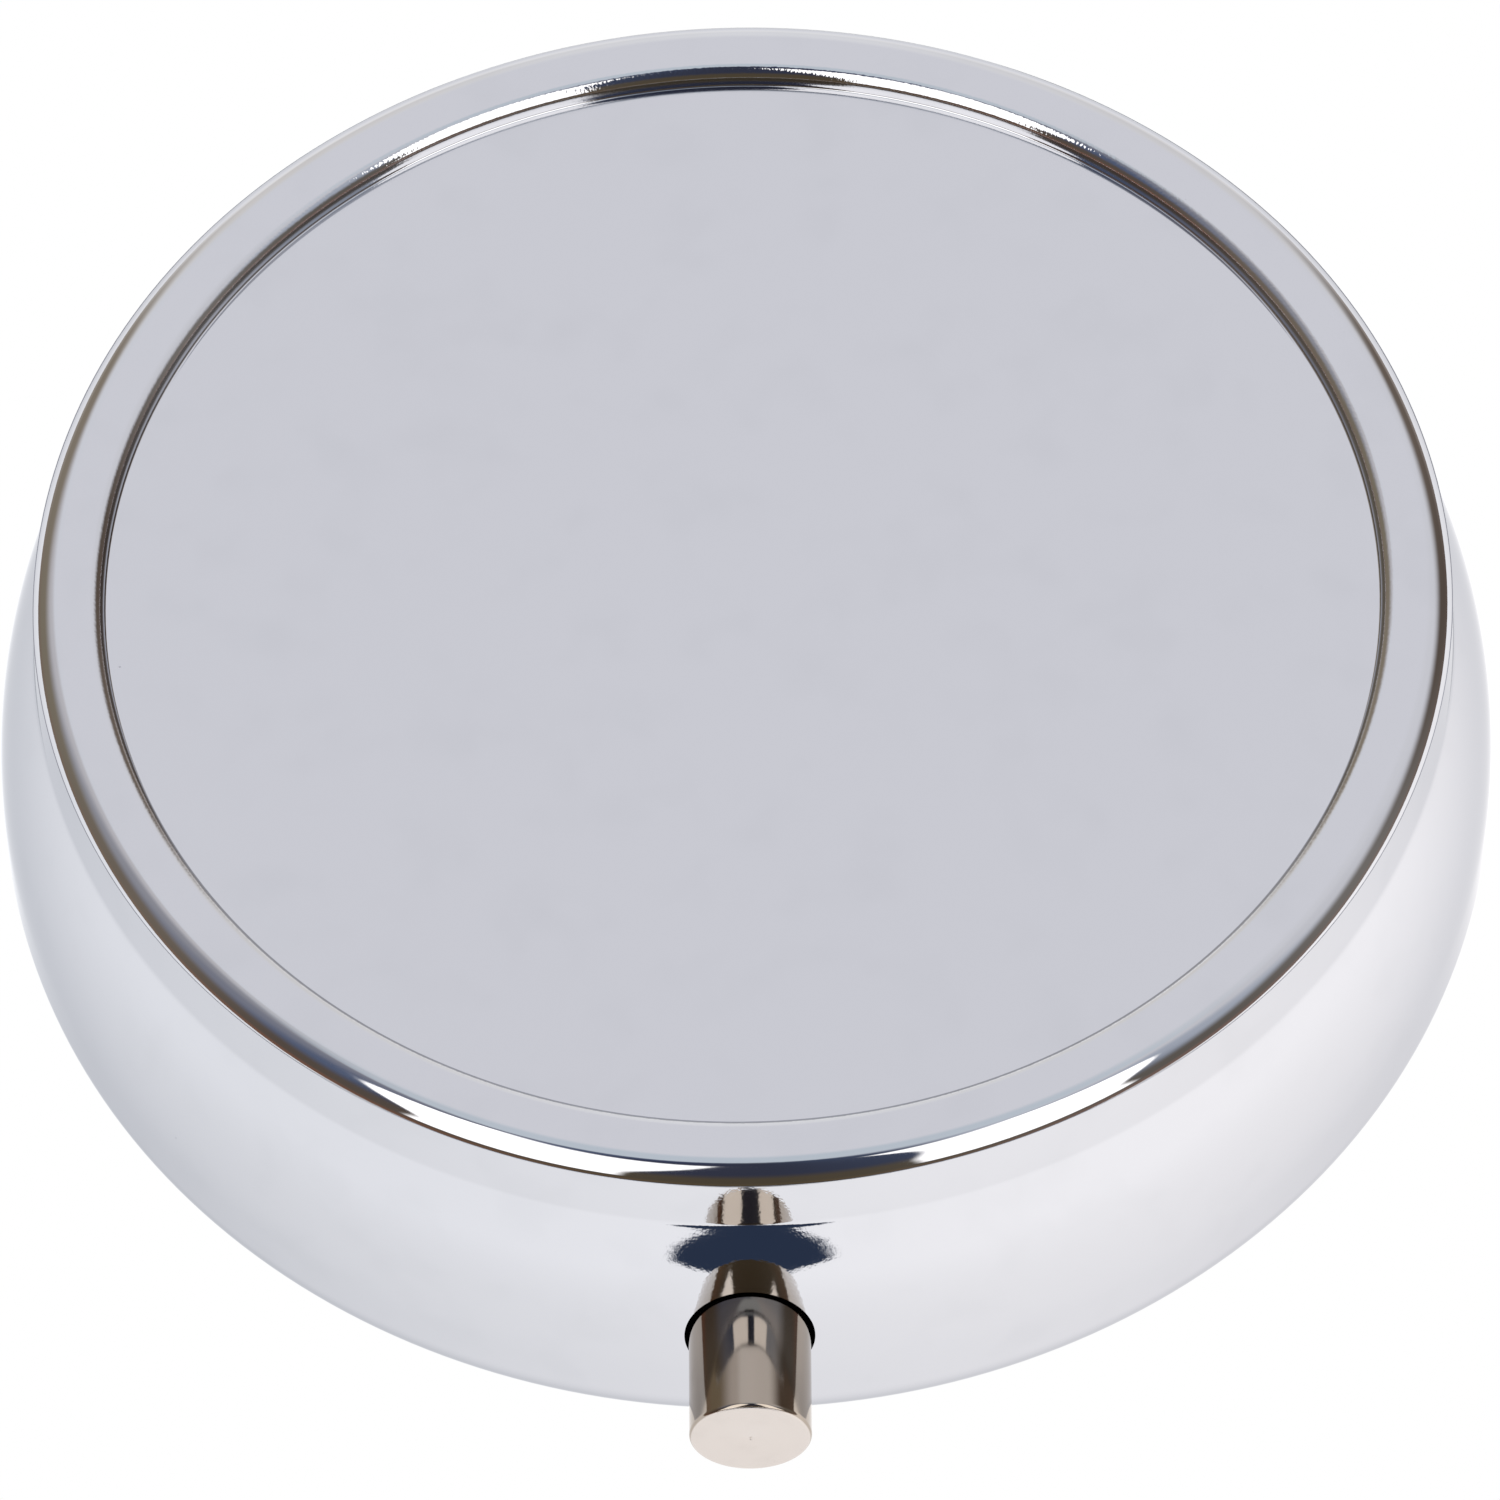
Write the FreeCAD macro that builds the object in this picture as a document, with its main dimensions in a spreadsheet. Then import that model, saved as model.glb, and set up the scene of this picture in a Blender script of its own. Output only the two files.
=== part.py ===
"""Round push-button pill box: a drawn base, a hinged lid with a recessed panel, a spring catch
worked by a push button, and a lift-out tray with three compartments.

Frame: millimetres, +Z up, origin at the centre of the base's underside.
-Y is the front, where the button is; +Y is the rear, where the hinge is.
"""
import FreeCAD, Part
import math
import os
import re
import Sketcher
from FreeCAD import Placement, Rotation, Vector

# ---------------------------------------------------------------- driving sizes, in millimetres

SIZES = {
    # lid
    "seam_height": 12.7,        # lower edge of the lid above the table
    "seam_gap": 0.05,           # between the base's mouth and the lid's edge
    "lid_radius": 23.7,         # outside of the lid's rolled edge
    "lid_roll": 0.75,           # radius of the rolled edge
    "lid_wall": 0.4,            # sheet of the lid
    "rim_rise": 0.55,           # flat rim above the seam
    "rim_width": 1.9,           # from the lid's outside to the rim's inner edge
    "panel_depth": 0.65,        # panel below the rim
    "rim_round": 0.5,           # rim's round down into the recess
    "liner_wall": 0.3,          # inner plate of the lid
    "liner_clearance": 0.5,     # liner's edge to the frame ring
    # base
    "shell_wall": 0.5,          # sheet of the base
    "mouth_step": 0.05,         # base's mouth inside the lid's outside
    "neck_flare": 0.15,         # neck's spread from the mouth to the crease
    "crease_drop": 2.1,         # crease below the seam
    "shoulder_bulge": 1.5,      # from the crease to the base's widest
    "widest_height": 3.77,      # where the shoulder turns vertical
    "foot_round": 2.35,         # round between the side and the flat bottom
    # frame ring pressed into the base
    "frame_wall": 0.5,
    "frame_clearance": 0.05,    # to the neck and to the floor
    "frame_drop": 0.3,          # top of the frame below the seam
    # push button
    "button_drop": 6.85,        # button's axis below the seam
    "button_radius": 2.0,
    "button_stand_out": 3.7,    # button's end face beyond the base's widest
    "button_round": 0.35,
    "hole_clearance": 0.25,     # button to the hole in the shell
    "guide_clearance": 0.08,    # button to its guide hole in the frame
    "flange_lip": 0.6,          # flange beyond the button
    "flange_wall": 0.6,
    "stub_radius": 1.0,
    "stop_gap": 0.05,           # flange to its stop, and stub to the spring, at rest
    "button_travel": 1.0,
    # hinge
    "hinge_drop": 1.9,          # hinge axis below the seam
    "knuckle_radius": 0.7,
    "knuckle_length": 1.6,
    "knuckle_gap": 0.05,        # half of the gap between two knuckles
    "pin_radius": 0.35,
    "pin_clearance": 0.05,
    "leaf_wall": 0.35,
    "leaf_depth": 4.0,          # base leaf down the frame
    "leaf_reach": 6.4,          # lid leaf under the liner
    "notch_clearance": 0.2,     # hinge to the notch in the shell and the frame
    "wire_radius": 0.12,        # lid spring
    "coil_radius": 0.55,        # lid spring, at the middle of its wire
    # catch
    "keeper_gap": 0.5,          # keeper to the frame ring
    "keeper_wall": 0.4,
    "keeper_half_width": 2.6,
    "keeper_lift": 0.65,        # keeper's lower end above the button's flange
    "keeper_bar": 0.5,          # below the keeper's window
    "window_half_width": 1.5,
    "window_height": 0.75,
    "nose_clearance": 0.15,     # nose inside the keeper's window
    "nose_lift": 0.4,           # thickness of the nose
    "strip_gap": 0.7,           # catch spring behind the keeper
    "strip_wall": 0.25,
    "strip_height": 3.5,
    "pad_half_length": 1.6,     # ends of the catch spring, on the frame
    "pad_clearance": 0.07,
    # rivets
    "rivet_radius": 0.5,
    "rivet_head_radius": 0.8,
    "rivet_head": 0.35,
    "rivet_clearance": 0.02,
    "hinge_rivet_half_pitch": 3.2,
    "lid_rivet_half_pitch": 3.4,
    "keeper_rivet_half_pitch": 1.6,
    # tray
    "tray_wall": 1.0,
    "tray_clearance": 0.6,      # tray to the frame ring
    "tray_gap": 0.5,            # tray to the pressed-in catch spring
    "tray_drop": 1.7,           # tray's top below the seam
}

# ---------------------------------------------------------------- sizes that follow from them

DERIVED = {
    "neck_radius": "lid_radius - mouth_step",
    "crease_radius": "neck_radius + neck_flare",
    "widest_radius": "crease_radius + shoulder_bulge",
    "panel_radius": "lid_radius - rim_width - panel_depth",
    "button_height": "seam_height - button_drop",
    "button_reach": "widest_radius + button_stand_out",
    "flange_radius": "button_radius + flange_lip",
    "rim_height": "seam_height + rim_rise",
    "panel_height": "rim_height - panel_depth",
    "panel_corner": "panel_depth - rim_round",
    "roll_start": "lid_radius - sqrt(lid_roll ^ 2 - (lid_roll - rim_rise) ^ 2)",
    "mouth_height": "seam_height - seam_gap",
    "crease_height": "seam_height - crease_drop",
    "shoulder_rise": "crease_height - widest_height",
    "shoulder_run": "widest_radius - crease_radius",
    "shoulder_radius": "(shoulder_rise ^ 2 + shoulder_run ^ 2) / (2 * shoulder_run)",
    "inner_shoulder": "shoulder_radius - shell_wall",
    "inner_crease_radius":
        "widest_radius - shoulder_radius + sqrt(inner_shoulder ^ 2 - shoulder_rise ^ 2)",
    "frame_outer": "neck_radius - shell_wall - frame_clearance",
    "frame_inner": "frame_outer - frame_wall",
    "frame_floor": "shell_wall + frame_clearance",
    "liner_radius": "frame_inner - liner_clearance",
    "liner_top": "panel_height - lid_wall",
    "liner_bottom": "liner_top - liner_wall",
    "leaf_bottom": "liner_bottom - leaf_wall",
    "hinge_height": "seam_height - hinge_drop",
    "hinge_half_width": "3 * knuckle_length",
    "notch_half_width": "hinge_half_width + 2 * notch_clearance",
    "web_bottom": "hinge_height - knuckle_radius - knuckle_gap",
    "notch_height": "web_bottom - notch_clearance",
    "leaf_outer": "frame_inner - rivet_clearance",
    "leaf_inner": "leaf_outer - leaf_wall",
    "hinge_rivet_angle": "asin(hinge_rivet_half_pitch / leaf_inner) / 1deg",
    "flange_front": "sqrt(frame_inner ^ 2 - flange_radius ^ 2) - stop_gap",
    "flange_back": "flange_front - flange_wall",
    "keeper_front": "frame_inner - keeper_gap",
    "keeper_back": "keeper_front - keeper_wall",
    "keeper_bottom": "button_height + flange_radius + keeper_lift",
    "window_bottom": "keeper_bottom + keeper_bar",
    "nose_bottom": "window_bottom + nose_clearance",
    "strip_front": "keeper_back - strip_gap",
    "strip_back": "strip_front - strip_wall",
    "pad_outer": "frame_inner - pad_clearance",
    "pad_inner": "pad_outer - strip_wall",
    "pad_angle": "acos((strip_back - strip_wall) / pad_inner) / 1deg",
    "strip_half_length": "pad_inner * sin(pad_angle) - pad_half_length / 2",
    "tray_radius": "frame_inner - tray_clearance",
    "tray_front": "strip_back - button_travel - tray_gap",
    "tray_rear": "sqrt(leaf_inner ^ 2 - hinge_half_width ^ 2) - rivet_head",
    "tray_top": "seam_height - tray_drop",
    "tray_bottom": "shell_wall + frame_clearance",
    "cavity_radius": "tray_radius - tray_wall",
}

document = FreeCAD.newDocument("PillBox")
sheet = document.addObject("Spreadsheet::Sheet", "Sizes")
for row, (alias, number) in enumerate(SIZES.items(), start=1):
    sheet.set(f"A{row}", alias)
    sheet.set(f"B{row}", str(number))
    sheet.setAlias(f"B{row}", alias)
document.recompute()


def full(expression):
    """Write an expression's size names the way FreeCAD reads them from the sheet."""
    def swap(match):
        word = match.group(0)
        if word in DERIVED:
            return "(" + full(DERIVED[word]) + ")"
        if word in SIZES:
            return "Sizes." + word
        return word
    return re.sub(r"[a-z][a-z_]+", swap, str(expression))


def value(expression):
    """The number that an expression comes to, in millimetres or degrees."""
    result = sheet.evalExpression(full(expression))
    return float(getattr(result, "Value", result))


def bind(thing, **sizes):
    """Tie properties of an object to expressions on the sheet."""
    for name, expression in sizes.items():
        thing.setExpression(name.replace("__", "."), full(expression))


# ---------------------------------------------------------------- sketches and bodies

def origin_plane(body, role):
    """One of a body's own origin planes."""
    return next(item for item in body.Origin.OriginFeatures if item.Role == role)


def new_sketch(body, name, role="XZ_Plane"):
    """A sketch on one of the body's own origin planes."""
    sketch = body.newObject("Sketcher::SketchObject", name)
    sketch.AttachmentSupport = [(origin_plane(body, role), "")]
    sketch.MapMode = "FlatFace"
    return sketch


def arc_between(start, end, radius, turn):
    """The shorter arc from start to end; turn is +1 anticlockwise and -1 clockwise."""
    chord = end - start
    middle = (start + end) * 0.5
    offset = math.sqrt(max(radius ** 2 - (chord.Length / 2) ** 2, 0))
    left = Vector(-chord.y, chord.x, 0).normalize()
    centre = middle + left * offset * turn
    first, last = (start, end) if turn > 0 else (end, start)
    angles = [math.atan2(p.y - centre.y, p.x - centre.x) for p in (first, last)]
    return Part.ArcOfCircle(Part.Circle(centre, Vector(0, 0, 1), radius), *angles)


def tie(sketch, kind, *where, to):
    """A constraint whose size is an expression on the sheet."""
    index = sketch.addConstraint(Sketcher.Constraint(kind, *where, value(to)))
    sketch.setExpression(f"Constraints[{index}]", full(to))


def tie_point(sketch, geometry, point, across, up):
    """Place one point of a sketch from its origin."""
    for axis, kind, size in ((-2, "DistanceX", across), (-1, "DistanceY", up)):
        if size == "0":
            sketch.addConstraint(Sketcher.Constraint("PointOnObject", geometry, point, axis))
        else:
            tie(sketch, kind, -1, 1, geometry, point, to=size)


def draw(sketch, outline):
    """Close an outline through its corners, each (across, up).

    A corner that an arc leads to also has the arc's radius and its turn.
    """
    corners = [Vector(value(corner[0]), value(corner[1]), 0) for corner in outline]
    ends = []
    for index, corner in enumerate(outline):
        start, end = corners[index - 1], corners[index]
        if len(corner) == 2:
            edge = sketch.addGeometry(Part.LineSegment(start, end))
            ends.append(((edge, 1), (edge, 2)))
            continue
        radius, turn = corner[2:]
        edge = sketch.addGeometry(arc_between(start, end, value(radius), turn))
        ends.append(((edge, 1), (edge, 2)) if turn > 0 else ((edge, 2), (edge, 1)))
        tie(sketch, "Radius", edge, to=radius)
    for index, corner in enumerate(outline):
        leaving = ends[(index + 1) % len(outline)][0]
        arriving = ends[index][1]
        sketch.addConstraint(Sketcher.Constraint("Coincident", *arriving, *leaving))
        tie_point(sketch, *arriving, corner[0], corner[1])


def revolved(name, outline):
    """A body turned about +Z from an outline of (radius, height) corners."""
    body = document.addObject("PartDesign::Body", name)
    body.Label = name
    sketch = new_sketch(body, name + "_outline")
    draw(sketch, outline)
    turning = body.newObject("PartDesign::Revolution", name + "_revolution")
    turning.Profile = sketch
    turning.ReferenceAxis = (sketch, ["V_Axis"])
    turning.Angle = 360
    sketch.Visibility = False
    document.recompute()
    return body


def pocket(body, name, outline, length, to_front):
    """Cut an outline, drawn on the XZ plane, through the front or the rear of a body."""
    before = body.Shape.Volume
    sketch = new_sketch(body, name + "_outline")
    if len(outline) == 1:
        across, up, radius = outline[0]
        centre = Vector(value(across), value(up), 0)
        edge = sketch.addGeometry(Part.Circle(centre, Vector(0, 0, 1), value(radius)))
        tie_point(sketch, edge, 3, across, up)
        tie(sketch, "Radius", edge, to=radius)
    else:
        draw(sketch, outline)
    cut = body.newObject("PartDesign::Pocket", name)
    cut.Profile = sketch
    cut.Reversed = to_front
    bind(cut, Length=length)
    sketch.Visibility = False
    document.recompute()
    if body.Shape.Volume >= before:
        raise RuntimeError(name + " cuts nothing")


# ---------------------------------------------------------------- primitives and booleans

UPRIGHT = Rotation()
ALONG_X = Rotation(Vector(0, 1, 0), 90)
ALONG_Y = Rotation(Vector(1, 0, 0), -90)


def place(thing, x, y, z):
    """Tie an object's place to the sheet."""
    bind(thing, Placement__Base__x=x, Placement__Base__y=y, Placement__Base__z=z)


def box(name, low, high):
    """A box between two corners, each three expressions."""
    solid = document.addObject("Part::Box", name)
    length, width, height = [f"({b}) - ({a})" for a, b in zip(low, high)]
    bind(solid, Length=length, Width=width, Height=height)
    place(solid, *low)
    return solid


def rod(name, radius, length, start, direction=UPRIGHT):
    """A cylinder from start, along +Z, +X or +Y."""
    solid = document.addObject("Part::Cylinder", name)
    solid.Placement = Placement(Vector(), direction)
    bind(solid, Radius=radius, Height=length)
    place(solid, *start)
    return solid


def fuse(name, solids):
    joined = document.addObject("Part::MultiFuse", name)
    joined.Shapes = solids
    joined.Refine = True
    return joined


def cut(name, base, tool):
    left = document.addObject("Part::Cut", name)
    left.Base = base
    left.Tool = tool
    return left


def common(name, first, second):
    shared = document.addObject("Part::Common", name)
    shared.Base = first
    shared.Tool = second
    return shared


def turned(name, solid, angle):
    """The same solid, turned about the box's upright axis."""
    holder = document.addObject("Part::Compound", name)
    holder.Links = [solid]
    bind(holder, Placement__Rotation__Angle=angle)
    return holder


def tube(name, outer, inner, low, high):
    """An upright ring."""
    outside = rod(name + "_outside", outer, f"({high}) - ({low})", ("0", "0", low))
    inside = rod(name + "_inside", inner, f"({high}) - ({low}) + 2", ("0", "0", f"{low} - 1"))
    return cut(name, outside, inside)


# ---------------------------------------------------------------- base

def make_base_shell():
    """One drawn sheet: flat bottom, round foot, bulging shoulder and upright neck."""
    neck_inner = "neck_radius - shell_wall"
    foot_centre = "widest_radius - foot_round"
    outline = [
        ("0", "0"),
        (foot_centre, "0"),
        ("widest_radius", "foot_round", "foot_round", 1),
        ("widest_radius", "widest_height"),
        ("crease_radius", "crease_height", "shoulder_radius", 1),
        ("neck_radius", "mouth_height"),
        (neck_inner, "mouth_height"),
        ("inner_crease_radius", "crease_height"),
        ("widest_radius - shell_wall", "widest_height", "inner_shoulder", -1),
        ("widest_radius - shell_wall", "foot_round"),
        (foot_centre, "shell_wall", "foot_round - shell_wall", -1),
        ("0", "shell_wall"),
    ]
    shell = revolved("base_shell", outline)
    hole = [("0", "button_height", "button_radius + hole_clearance")]
    pocket(shell, "shell_button_hole", hole, "button_reach", to_front=True)
    top = "rim_height"
    notch = [
        ("-notch_half_width", "notch_height"),
        ("notch_half_width", "notch_height"),
        ("notch_half_width", top),
        ("-notch_half_width", top),
    ]
    pocket(shell, "shell_hinge_notch", notch, "button_reach", to_front=False)
    return shell


def frame_holes():
    """What is cut from the frame: button guide, hinge notch and four rivet holes."""
    guide_radius = "button_radius + guide_clearance"
    guide = rod("frame_guide_hole", guide_radius, "button_reach",
                ("0", "-button_reach", "button_height"), ALONG_Y)
    notch = box("frame_hinge_notch", ("-notch_half_width", "0", "notch_height"),
                ("notch_half_width", "button_reach", "rim_height"))
    tools = [guide, notch]
    for name, height, angle in RING_RIVETS:
        straight = rod(name + "_hole_straight", "rivet_radius + rivet_clearance",
                       "button_reach", ("0", "0", height), ALONG_X)
        tools.append(turned(name + "_hole", straight, angle))
    return fuse("frame_holes", tools)


def make_inner_frame():
    """Stamped ring that stands on the floor and carries the hinge, the button and the catch."""
    top = "seam_height - frame_drop"
    ring = tube("frame_ring", "frame_outer", "frame_inner", "frame_floor", top)
    return cut("inner_frame", ring, frame_holes())


def make_pill_tray():
    """Moulded tray with three compartments, flat at the front and rear for the fittings."""
    height = "tray_top - tray_bottom"
    disc = rod("tray_disc", "tray_radius", height, ("0", "0", "tray_bottom"))
    sides = box("tray_sides", ("-tray_radius", "-tray_front", "tray_bottom"),
                ("tray_radius", "tray_rear", "tray_top"))
    outside = common("tray_outside", disc, sides)
    floor = "tray_bottom + tray_wall"
    hollow = rod("tray_hollow", "cavity_radius", height, ("0", "0", floor))
    hollow_sides = box("tray_hollow_sides", ("-tray_radius", "-tray_front + tray_wall", floor),
                       ("tray_radius", "tray_rear - tray_wall", "tray_top + tray_wall"))
    inside = common("tray_inside", hollow, hollow_sides)
    walls = []
    for number in range(3):
        straight = box(f"tray_wall_straight_{number}", ("0", "-tray_wall / 2", "0"),
                       ("lid_radius", "tray_wall / 2", "rim_height"))
        walls.append(turned(f"tray_wall_{number}", straight, str(90 + 120 * number)))
    compartments = cut("tray_compartments", inside, fuse("tray_walls", walls))
    return cut("pill_tray", outside, compartments)


# ---------------------------------------------------------------- hinge

def knuckles(name, slots):
    """Knuckles on the hinge axis; each slot counts knuckle lengths from the middle."""
    solids = []
    for number, slot in enumerate(slots):
        start = f"{slot} * knuckle_length + knuckle_gap"
        solids.append(rod(f"{name}_{number}", "knuckle_radius", "knuckle_length - 2 * knuckle_gap",
                          (start, "lid_radius", "hinge_height"), ALONG_X))
    return solids


def pin_hole(name):
    return rod(name, "pin_radius + pin_clearance", "2 * lid_radius",
               ("-lid_radius", "lid_radius", "hinge_height"), ALONG_X)


def webs(name, slots, low, high):
    """Strips of leaf that reach each knuckle; low and high are (y, z) expressions."""
    solids = []
    for number, slot in enumerate(slots):
        left = f"{slot} * knuckle_length + knuckle_gap"
        right = f"({slot} + 1) * knuckle_length - knuckle_gap"
        solids.append(box(f"{name}_{number}", (left, *low), (right, *high)))
    return solids


BASE_SLOTS = (-3, 2)
LID_SLOTS = (-2, 1)


def make_hinge_base_leaf():
    """Curved leaf on the frame ring, with the two outer knuckles."""
    top = "web_bottom + leaf_wall"
    ring = tube("base_leaf_ring", "leaf_outer", "leaf_inner", "notch_height - leaf_depth", top)
    window = box("base_leaf_window", ("-hinge_half_width", "0", "0"),
                 ("hinge_half_width", "lid_radius", "rim_height"))
    plate = common("base_leaf_plate", ring, window)
    reach = webs("base_leaf_web", BASE_SLOTS, ("leaf_inner - 2 * leaf_wall", "web_bottom"),
                 ("lid_radius", top))
    leaf = fuse("base_leaf_solid", [plate, *reach, *knuckles("base_knuckle", BASE_SLOTS)])
    holes = [pin_hole("base_leaf_pin_hole")]
    for name, height, angle in RING_RIVETS:
        straight = rod(name + "_leaf_hole_straight", "rivet_radius + rivet_clearance",
                       "button_reach", ("0", "0", height), ALONG_X)
        holes.append(turned(name + "_leaf_hole", straight, angle))
    return cut("hinge_base_leaf", leaf, fuse("base_leaf_holes", holes))


def make_hinge_lid_leaf():
    """Flat leaf under the liner, with the two inner knuckles hung from it."""
    rear = "lid_radius - knuckle_radius - knuckle_radius / 2"
    plate = box("lid_leaf_plate", ("-hinge_half_width", f"{rear} - leaf_reach", "leaf_bottom"),
                ("hinge_half_width", rear, "liner_bottom"))
    reach = webs("lid_leaf_web", LID_SLOTS, (rear, "leaf_bottom"), ("lid_radius", "liner_bottom"))
    drop = webs("lid_leaf_drop", LID_SLOTS, ("lid_radius - leaf_wall", "hinge_height"),
                ("lid_radius", "liner_bottom"))
    leaf = fuse("lid_leaf_solid", [plate, *reach, *drop, *knuckles("lid_knuckle", LID_SLOTS)])
    holes = [pin_hole("lid_leaf_pin_hole")]
    holes += [upright_hole(name + "_leaf_hole", x, y) for name, x, y in LID_RIVETS[:2]]
    return cut("hinge_lid_leaf", leaf, fuse("lid_leaf_holes", holes))


def make_hinge_pin():
    """Plain pin through all four knuckles."""
    return rod("hinge_pin", "pin_radius", "2 * hinge_half_width + 2 * knuckle_gap",
               ("-hinge_half_width - knuckle_gap", "lid_radius", "hinge_height"), ALONG_X)


def make_lid_spring():
    """Torsion spring round the pin, with one leg on the base leaf and one under the lid leaf."""
    half = "(knuckle_length - 2 * knuckle_gap)"
    outside = rod("coil_outside", "coil_radius + wire_radius", f"2 * {half}",
                  (f"-{half}", "lid_radius", "hinge_height"), ALONG_X)
    inside = rod("coil_inside", "coil_radius - wire_radius", "2 * lid_radius",
                 ("-lid_radius", "lid_radius", "hinge_height"), ALONG_X)
    coil = cut("coil", outside, inside)
    lid_leg_height = "leaf_bottom - 1.2 * wire_radius"
    lid_leg = rod("spring_lid_leg", "wire_radius", "leaf_reach / 2 + coil_radius",
                  (f"{half} - 2 * wire_radius", "lid_radius - coil_radius - leaf_reach / 2",
                   lid_leg_height), ALONG_Y)
    drop_y = "leaf_inner - 2 * wire_radius"
    base_leg_height = "web_bottom + leaf_wall + 1.3 * wire_radius"
    reach = rod("spring_base_reach", "wire_radius",
                f"lid_radius - coil_radius + wire_radius - ({drop_y})",
                (f"-{half} + 2 * wire_radius", drop_y, base_leg_height), ALONG_Y)
    leg = rod("spring_base_leg", "wire_radius", "leaf_depth / 2",
              (f"-{half} + 2 * wire_radius", drop_y, f"{base_leg_height} - leaf_depth / 2"))
    return fuse("lid_spring", [coil, lid_leg, reach, leg])


# ---------------------------------------------------------------- lid

def make_lid_shell():
    """One drawn sheet: rolled edge, flat rim and a recessed polished panel."""
    crest = "panel_radius + panel_depth"
    under_rim = "rim_height - lid_wall"
    inner_roll = "lid_roll - lid_wall"
    inner_edge = f"roll_start + sqrt(({inner_roll}) ^ 2 - (lid_roll - rim_rise) ^ 2)"
    wall_foot = "panel_height + panel_corner"
    outline = [
        ("0", "liner_top"),
        ("panel_radius", "liner_top"),
        ("panel_radius + panel_corner + lid_wall", wall_foot, "panel_corner + lid_wall", 1),
        (crest, under_rim, "rim_round - lid_wall", -1),
        ("roll_start", under_rim),
        (inner_edge, "seam_height", inner_roll, -1),
        ("lid_radius", "seam_height"),
        ("roll_start", "rim_height", "lid_roll", 1),
        (crest, "rim_height"),
        ("panel_radius + panel_corner", wall_foot, "rim_round", 1),
        ("panel_radius", "panel_height", "panel_corner", -1),
        ("0", "panel_height"),
    ]
    return revolved("lid_shell", outline)


def upright_hole(name, x, y):
    return rod(name, "rivet_radius + rivet_clearance", "2 * rim_height", (x, y, "0"))


def make_lid_liner():
    """Thin plate that closes the underside of the lid and takes the lid's rivets."""
    disc = rod("liner_disc", "liner_radius", "liner_wall", ("0", "0", "liner_bottom"))
    holes = [upright_hole(name + "_liner_hole", x, y) for name, x, y in LID_RIVETS]
    return cut("lid_liner", disc, fuse("liner_holes", holes))


def make_lid_keeper():
    """Bent plate: a flange under the liner and a tongue whose window takes the catch's nose."""
    flange = box("keeper_flange", ("-keeper_half_width", "-keeper_front", "leaf_bottom"),
                 ("keeper_half_width", "-keeper_front + leaf_reach / 2", "liner_bottom"))
    tongue = box("keeper_tongue", ("-keeper_half_width", "-keeper_front", "keeper_bottom"),
                 ("keeper_half_width", "-keeper_back", "liner_bottom"))
    window = box("keeper_window", ("-window_half_width", "-button_reach", "window_bottom"),
                 ("window_half_width", "-keeper_back + leaf_wall",
                  "window_bottom + window_height"))
    holes = [upright_hole(name + "_keeper_hole", x, y) for name, x, y in LID_RIVETS[2:]]
    return cut("lid_keeper", fuse("keeper_plate", [flange, tongue]),
               fuse("keeper_holes", [window, *holes]))


# ---------------------------------------------------------------- catch and button

def make_catch_spring():
    """Flat spring across the front, riveted to the frame, with a nose for the keeper."""
    low = "button_height - strip_height / 2"
    high = "button_height + strip_height / 2"
    strip = box("catch_strip", ("-strip_half_length", "-strip_front", low),
                ("strip_half_length", "-strip_back", high))
    nose_half_width = "window_half_width - 2 * nose_clearance"
    nose_top = "nose_bottom + nose_lift"
    tab = box("catch_tab", (f"-({nose_half_width})", "-strip_front", low),
              (nose_half_width, "-strip_back", nose_top))
    nose = box("catch_nose", (f"-({nose_half_width})", "-keeper_front - nose_clearance",
                              "nose_bottom"), (nose_half_width, "-strip_back", nose_top))
    pads = []
    for side, sign in (("left", "-"), ("right", "")):
        straight = box(f"catch_pad_straight_{side}", ("pad_inner", "-pad_half_length", low),
                       ("pad_outer", "pad_half_length", high))
        pads.append(turned(f"catch_pad_{side}", straight, f"{sign}1 * pad_angle - 90"))
    spring = fuse("catch_spring_solid", [strip, tab, nose, *pads])
    holes = []
    for name, height, angle in RING_RIVETS[:2]:
        straight = rod(name + "_pad_hole_straight", "rivet_radius + rivet_clearance",
                       "button_reach", ("0", "0", height), ALONG_X)
        holes.append(turned(name + "_pad_hole", straight, angle))
    return cut("catch_spring", spring, fuse("catch_spring_holes", holes))


def make_push_button():
    """Turned button: rounded end, flange behind the frame and a stub on the spring."""
    outline = [
        ("0", "strip_front + stop_gap"),
        ("stub_radius", "strip_front + stop_gap"),
        ("stub_radius", "flange_back"),
        ("flange_radius", "flange_back"),
        ("flange_radius", "flange_front"),
        ("button_radius", "flange_front"),
        ("button_radius", "button_reach - button_round"),
        ("button_radius - button_round", "button_reach", "button_round", 1),
        ("0", "button_reach"),
    ]
    button = revolved("push_button", outline)
    button.Placement = Placement(Vector(), Rotation(Vector(1, 0, 0), 90))
    bind(button, Placement__Base__z="button_height")
    return button


# ---------------------------------------------------------------- rivets

RING_RIVETS = [
    ("catch_rivet_left", "button_height", "-1 * pad_angle - 90"),
    ("catch_rivet_right", "button_height", "pad_angle - 90"),
    ("hinge_base_rivet_left", "notch_height - leaf_depth / 2", "90 + hinge_rivet_angle"),
    ("hinge_base_rivet_right", "notch_height - leaf_depth / 2", "90 - hinge_rivet_angle"),
]
LID_RIVETS = [
    ("hinge_lid_rivet_left", "-lid_rivet_half_pitch", "lid_radius - leaf_reach"),
    ("hinge_lid_rivet_right", "lid_rivet_half_pitch", "lid_radius - leaf_reach"),
    ("keeper_rivet_left", "-keeper_rivet_half_pitch", "-keeper_back + leaf_reach / 4"),
    ("keeper_rivet_right", "keeper_rivet_half_pitch", "-keeper_back + leaf_reach / 4"),
]


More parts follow.
